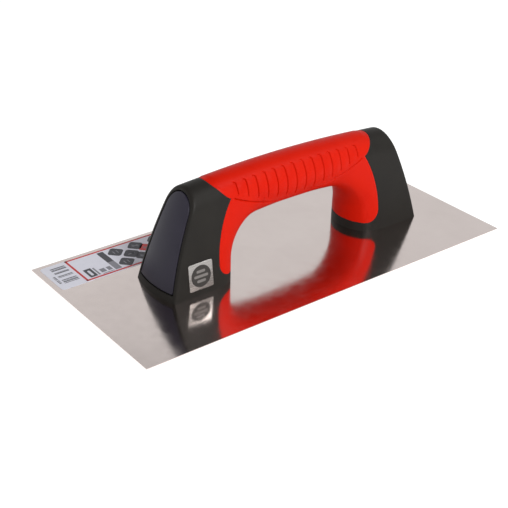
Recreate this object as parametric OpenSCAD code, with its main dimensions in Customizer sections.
// Closed-handle finishing trowel with a plain-edged stainless blade.
// +X runs along the blade to its right end, +Y to its back edge, +Z up.
// The origin is the centre of the blade's underside.

/* [Blade] */
// Length of the blade
blade_l = 280; // [240:1:480]
// Width of the blade
blade_w = 130; // [110:1:150]
// Thickness of the sheet
blade_t = 0.7; // [0.5:0.1:1.2]

/* [Handle] */
// How far the handle's middle stands from the blade's middle, towards the right end
handle_shift = 7.6; // [0:0.1:12]
// Height of the ridge above the blade, at the middle of the grip
ridge_z = 66.7; // [62:0.1:72]
// Radius of the arch that the grip and the ridge follow along the handle
arch_r = 850; // [600:10:1500]
// Radius of the grip's round section
grip_r = 15.1; // [14:0.1:16]
// Thickness of the soft red sleeve
sleeve_t = 2.6; // [2:0.1:3.2]

/* [Feet] */
// Half the width of a foot where it stands on the blade
foot_hw = 19.8; // [18.5:0.1:21]
// How much a foot's half width narrows for each millimetre of height
foot_draft = 0.13; // [0.1:0.01:0.14]
// Distance from the handle's middle to a foot's outer end, on its centre line
foot_end_x = 102.3; // [98:0.1:108]
// Distance from the handle's middle to a foot's inner nose, on its centre line
nose_x = 50.2; // [48:0.1:52]
// Wall thickness of the hollow feet
foot_wall = 3.2; // [2.6:0.1:3.2]
// Floor thickness of the feet, which the nuts clamp
foot_floor = 6; // [4.5:0.1:8]

/* [End covers] */
// Width of the rim left round a cover
cover_rim = 3; // [2.5:0.1:4]
// Thickness of a cover
cover_t = 2.2; // [1.8:0.1:2.8]
// Gap between a cover and its recess
cover_gap = 0.3; // [0.1:0.05:0.5]

/* [Fasteners] */
// Diameter of the studs welded to the blade
stud_d = 5; // [4:1:6]
// Distance of the inner and outer stud of a foot from the handle's middle
stud_x = [67, 86]; // [60:1:90]

/* [Badge and label] */
// Side of the square badge
badge_side = 17.2; // [12:0.1:18]
// Length of the label
label_l = 100; // [70:1:110]
// Width of the label
label_w = 30; // [20:1:36]

/* [Hidden] */

$fn = 96;
fine = 180;
tiny = 0.01;

// Foot: the outer end is a surface of revolution about an upright axis
end_bow_r = 64;
end_axis_x = foot_end_x - end_bow_r;
end_lean = 15;
end_arc_r = 237;
end_arc_sweep = 15.5;
shoulder_r = 15;
shoulder_sweep = 49.5;
// Radius of a foot's round top, which its drafted sides run into
foot_top_r = (foot_hw - foot_draft * ridge_z) / (sqrt(1 + foot_draft * foot_draft) - foot_draft);
foot_top_z = ridge_z - foot_top_r;
foot_tilt = 4.3;

// Foot: the inner nose in plan
nose_bow_r = 25;
nose_corner_r = 6.5;

// Knee: the fillet between a leg and the grip's underside
knee_x = 32.5;
knee_z = 19;
knee_r = 17.7;
knee_hw = 12;
grip_z = ridge_z - grip_r;

// Seam between the red sleeve and the black core
notch_x = 53.4;
notch_z = 54.2;
lobe_l = 10.8;
lobe_hw = 13.6;
seam_x = 65;
seam_low_z = 6;
seam_corner_r = 9;
seam_side_z = seam_low_z + seam_corner_r;
// Radius of the arc from the notch down to the upright part of the seam
seam_side_r = (pow(notch_z - seam_side_z, 2) + pow(seam_x - notch_x, 2)) / (2 * (seam_x - notch_x));
seam_sweep = asin((notch_z - seam_side_z) / seam_side_r);

// Hollow of a foot, and the tunnel that cores out the spine
spine_bore_r = 7;
chamber_x = 58;
cover_reach_x = 68;
cover_low_z = 4.2;
cover_sunk = 0.4;
// The ledge behind a cover, and the sill that its lower hook catches
cover_ledge = 1.6;
sill_z = 8;
hook_l = 9;
hook_w = 5;
hook_t = 1.6;
hook_barb = 0.8;
hook_barb_l = 2;
low_hook_tip = [91.6, sill_z + 1.2];
top_hook_tip = [69, 57.2];

// Fasteners
stud_l = 17;
stud_flange_r = stud_d * 0.65;
stud_flange_t = 0.9;
stud_play = 0.4;
washer_r = stud_d;
washer_t = 1;
nut_flats = 8;
nut_h = 5;
nut_collar_r = 3.4;
nut_collar_h = 1;

// Badge and label
badge_x = -79.1;
badge_z = 12.6;
badge_t = 0.6;
badge_proud = 0.25;
badge_corner_r = 0.8;
label_x = -136.4;
label_y = 32;
label_t = 0.12;
label_corner_r = 2.5;

// Points of an arc in a plane, from angle a0 to a1
function arc(centre, r, a0, a1, steps = 12) = [
  for (i = [0:steps])
    let (a = a0 + (a1 - a0) * i / steps)
      centre + r * [cos(a), sin(a)]
];

// Half the width of a foot at a height, and the foot profile's tangent points
draft_a = atan(foot_draft);
function foot_half(z) = foot_hw - foot_draft * z;

// How far the ridge has dropped at a distance from the handle's middle
function ridge_drop(x) = x * x / (2 * arch_r);

// Moves its children to the handle's own frame, whose origin is on the blade under the grip
module in_handle() {
  translate([handle_shift, 0, blade_t])
    children();
}

// Makes its children for the right foot and the left one
module both_ends() {
  children();
  mirror([1, 0, 0])
    children();
}

// Sweeps a profile, drawn across the handle with its height as y, along the ridge's arch
module arch_sweep(half_angle) {
  translate([0, 0, ridge_z - arch_r])
    rotate([90, 0, 0])
      rotate(90 - half_angle)
        rotate_extrude(angle = 2 * half_angle, $fn = fine)
          translate([arch_r - ridge_z, 0])
            rotate(-90)
              children();
}

// Extrudes an outline, drawn as seen from the front, across the handle
module across(half_width) {
  translate([0, half_width, 0])
    rotate([90, 0, 0])
      linear_extrude(2 * half_width)
        children();
}

// A foot's section across the handle: drafted sides under a round top
module foot_profile(inset) {
  r = foot_top_r - inset;
  low = -9;
  low_x = r * cos(draft_a) + (foot_top_z + r * sin(draft_a) - low) * foot_draft;
  polygon(concat(
    [[-low_x, low], [low_x, low]],
    arc([0, foot_top_z], r, draft_a, 180 - draft_a, 16)
  ));
}

// The profile run along the handle, falling towards the outer end as the ridge does
module foot_prism(inset) {
  translate([notch_x, 0, -ridge_drop(notch_x)])
    rotate([0, foot_tilt, 0])
      rotate([90, 0, 90])
        translate([0, 0, -20])
          linear_extrude(80)
            foot_profile(inset);
}

// A foot's outer end, as an outline turned about the bow's axis
module end_turning(inset) {
  low_a = end_lean;
  arc_centre = [end_bow_r - end_arc_r * cos(low_a), -end_arc_r * sin(low_a)];
  high_a = low_a + end_arc_sweep;
  shoulder_at = arc_centre + end_arc_r * [cos(high_a), sin(high_a)];
  shoulder_centre = shoulder_at - shoulder_r * [cos(high_a), sin(high_a)];
  rotate_extrude($fn = fine)
    polygon(concat(
      [[0, 0]],
      arc(arc_centre, end_arc_r - inset, low_a, high_a, 8),
      arc(shoulder_centre, shoulder_r - inset, high_a + 6, high_a + shoulder_sweep, 8),
      [[0, ridge_z + 6]]
    ));
}

// A foot in plan, with its bowed nose and rounded corners
module foot_plan(inset) {
  corner_r = nose_corner_r - inset;
  corner_y = foot_hw - nose_corner_r;
  bow_x = nose_x + nose_bow_r;
  corner_x = bow_x - sqrt(pow(nose_bow_r - nose_corner_r, 2) - corner_y * corner_y);
  contact_a = atan2(corner_y, bow_x - corner_x);
  polygon(concat(
    arc([bow_x, 0], nose_bow_r - inset, 180 + contact_a, 180 - contact_a, 10),
    arc([corner_x, corner_y], corner_r, 180 - contact_a, 90, 6),
    [[foot_end_x + 1, corner_y + corner_r], [foot_end_x + 1, -corner_y - corner_r]],
    arc([corner_x, -corner_y], corner_r, 270, 180 + contact_a, 6)
  ));
}

// A foot: full height outside the notch, with a lower nose that runs in under the grip
module foot_solid(inset) {
  difference() {
    intersection() {
      foot_prism(inset);
      translate([end_axis_x, 0, 0])
        end_turning(inset);
      linear_extrude(ridge_z + 5)
        foot_plan(inset);
    }
    translate([notch_x - 20, -30, grip_z - 8])
      cube([20, 60, 40]);
  }
}

// Fills the corner between a leg and the grip, with a round underside in front view
module knee(inset) {
  across(knee_hw - inset)
    difference() {
      translate([knee_x, knee_z])
        square([27, grip_z - knee_z]);
      translate([knee_x, knee_z])
        circle(knee_r + inset);
    }
}

// The whole outside of the handle, or a smaller one inside it
module handle_body(inset) {
  union() {
    both_ends() {
      foot_solid(inset);
      knee(inset);
    }
    intersection() {
      arch_sweep(5)
        translate([0, grip_z])
          circle(grip_r - inset, $fn = fine);
      translate([-notch_x, -30, 0])
        cube([2 * notch_x, 60, ridge_z + 5]);
    }
  }
}

// The space that the red sleeve takes up, from seam to seam
module sleeve_zone() {
  side_centre = [seam_x - seam_side_r, seam_side_z];
  corner_centre = [seam_x - seam_corner_r, seam_side_z];
  union() {
    both_ends()
      across(30)
        polygon(concat(
          [[-tiny, seam_low_z]],
          arc(corner_centre, seam_corner_r, -90, 0, 8),
          arc(side_centre, seam_side_r, seam_sweep / 10, seam_sweep, 9),
          [[-tiny, notch_z]]
        ));
    translate([0, 0, notch_z - tiny])
      linear_extrude(30) {
        square([2 * notch_x, 60], center = true);
        both_ends()
          translate([notch_x, 0])
            intersection() {
              scale([lobe_l / lobe_hw, 1])
                circle(lobe_hw);
              translate([-tiny, -lobe_hw])
                square(2 * lobe_hw);
            }
      }
  }
}

// Prism of a cover's outline, run in from a foot's outer end, with its lower edge at a height
module cover_prism(margin, low_z) {
  intersection() {
    foot_prism(cover_rim + margin);
    translate([cover_reach_x, -30, low_z])
      cube([60, 60, ridge_z]);
  }
}

// Room inside a foot for the nuts
module chamber() {
  intersection() {
    foot_prism(foot_wall);
    translate([end_axis_x, 0, 0])
      end_turning(foot_wall + cover_t);
    translate([chamber_x, -30, foot_floor])
      cube([50, 60, ridge_z]);
  }
}

// Stainless sheet, guillotined square, with plain edges all round
module blade() {
  color("silver")
    translate([-blade_l / 2, -blade_w / 2, 0])
      cube([blade_l, blade_w, blade_t]);
}

// Places its children on the axis of each stud, on the blade's upper face
module at_studs() {
  in_handle()
    for (side = [-1, 1], x = stud_x)
      translate([side * x, 0, 0])
        children();
}

module weld_studs() {
  color("lightsteelblue")
    at_studs() {
      cylinder(h = stud_l, d = stud_d);
      cylinder(h = stud_flange_t, r = stud_flange_r);
    }
}

module washers() {
  color("gainsboro")
    at_studs()
      translate([0, 0, foot_floor])
        difference() {
          cylinder(h = washer_t, r = washer_r);
          translate([0, 0, -1])
            cylinder(h = washer_t + 2, d = stud_d + stud_play);
        }
}

// Hexagon nuts with a nylon locking collar
module lock_nuts() {
  color("slategray")
    at_studs()
      translate([0, 0, foot_floor + washer_t])
        difference() {
          union() {
            cylinder(h = nut_h - nut_collar_h, d = nut_flats / cos(30), $fn = 6);
            cylinder(h = nut_h, r = nut_collar_r);
          }
          translate([0, 0, -1])
            cylinder(h = nut_h + 2, d = stud_d);
        }
}

// Hard black moulding: two hollow feet and the cored spine between them
module handle_core() {
  color("dimgray")
    difference() {
      in_handle()
        difference() {
          union() {
            difference() {
              handle_body(0);
              sleeve_zone();
            }
            handle_body(sleeve_t);
          }
          both_ends() {
            chamber();
            cover_prism(cover_ledge, sill_z);
            difference() {
              cover_prism(0, cover_low_z);
              translate([end_axis_x, 0, 0])
                end_turning(cover_t);
            }
            for (x = stud_x)
              translate([x, 0, -1]) {
                cylinder(h = foot_floor + 2, d = stud_d + stud_play);
                cylinder(h = 1 + stud_flange_t + 0.3, r = stud_flange_r + 0.4);
              }
          }
          translate([-chamber_x - 1, 0, grip_z - 2])
            rotate([0, 90, 0])
              cylinder(h = 2 * (chamber_x + 1), r = spine_bore_r);
        }
      badge_blank(0.05);
    }
}

// Soft red sleeve moulded over the spine and down the inner side of both legs
module grip_sleeve() {
  color("red")
    in_handle()
      difference() {
        intersection() {
          handle_body(0);
          sleeve_zone();
        }
        handle_body(sleeve_t);
      }
}

// A snap hook whose barb points up or down, run in from a cover's inner face
module snap_hook(tip, barb_up) {
  barb_z = barb_up ? hook_t / 2 : -hook_t / 2 - hook_barb;
  translate([tip[0], -hook_w / 2, tip[1] - hook_t / 2])
    cube([hook_l, hook_w, hook_t]);
  translate([tip[0], -hook_w / 2, tip[1] + barb_z - tiny])
    cube([hook_barb_l, hook_w, hook_barb + 2 * tiny]);
}

// A cover for the right foot, with a snap hook at the bottom and another at the top
module end_cover() {
  intersection() {
    cover_prism(cover_gap, cover_low_z + cover_gap);
    translate([end_axis_x, 0, 0])
      difference() {
        end_turning(cover_sunk);
        end_turning(cover_t);
      }
  }
  intersection() {
    union() {
      snap_hook(low_hook_tip, false);
      snap_hook(top_hook_tip, true);
    }
    translate([end_axis_x, 0, 0])
      end_turning(cover_t - 0.3);
  }
}

module right_end_cover() {
  color("darkslateblue")
    in_handle()
      end_cover();
}

module left_end_cover() {
  color("darkslateblue")
    in_handle()
      mirror([1, 0, 0])
        end_cover();
}

// A flat plate with rounded corners, centred on the origin
module rounded_plate(length, width, thick, corner_r) {
  x = length / 2 - corner_r;
  y = width / 2 - corner_r;
  linear_extrude(thick)
    polygon(concat(
      arc([x, y], corner_r, 0, 90, 6),
      arc([-x, y], corner_r, 90, 180, 6),
      arc([-x, -y], corner_r, 180, 270, 6),
      arc([x, -y], corner_r, 270, 360, 6)
    ));
}

// The badge's blank, let into the left foot's front face; a larger one cuts its recess
module badge_blank(margin) {
  side = badge_side + 2 * margin;
  in_handle()
    translate([badge_x, -foot_hw, 0])
      rotate([90 - draft_a, 0, 0])
        translate([0, badge_z, badge_proud - badge_t - margin])
          rounded_plate(side, side, badge_t + margin, badge_corner_r + margin);
}

module badge() {
  color("lightgray")
    badge_blank(0);
}

// Paper label stuck on the blade's back left corner
module label() {
  color("white")
    translate([label_x + label_l / 2, label_y + label_w / 2, blade_t])
      rounded_plate(label_l, label_w, label_t, label_corner_r);
}

blade();
weld_studs();
washers();
lock_nuts();
handle_core();
grip_sleeve();
left_end_cover();
right_end_cover();
badge();
label();
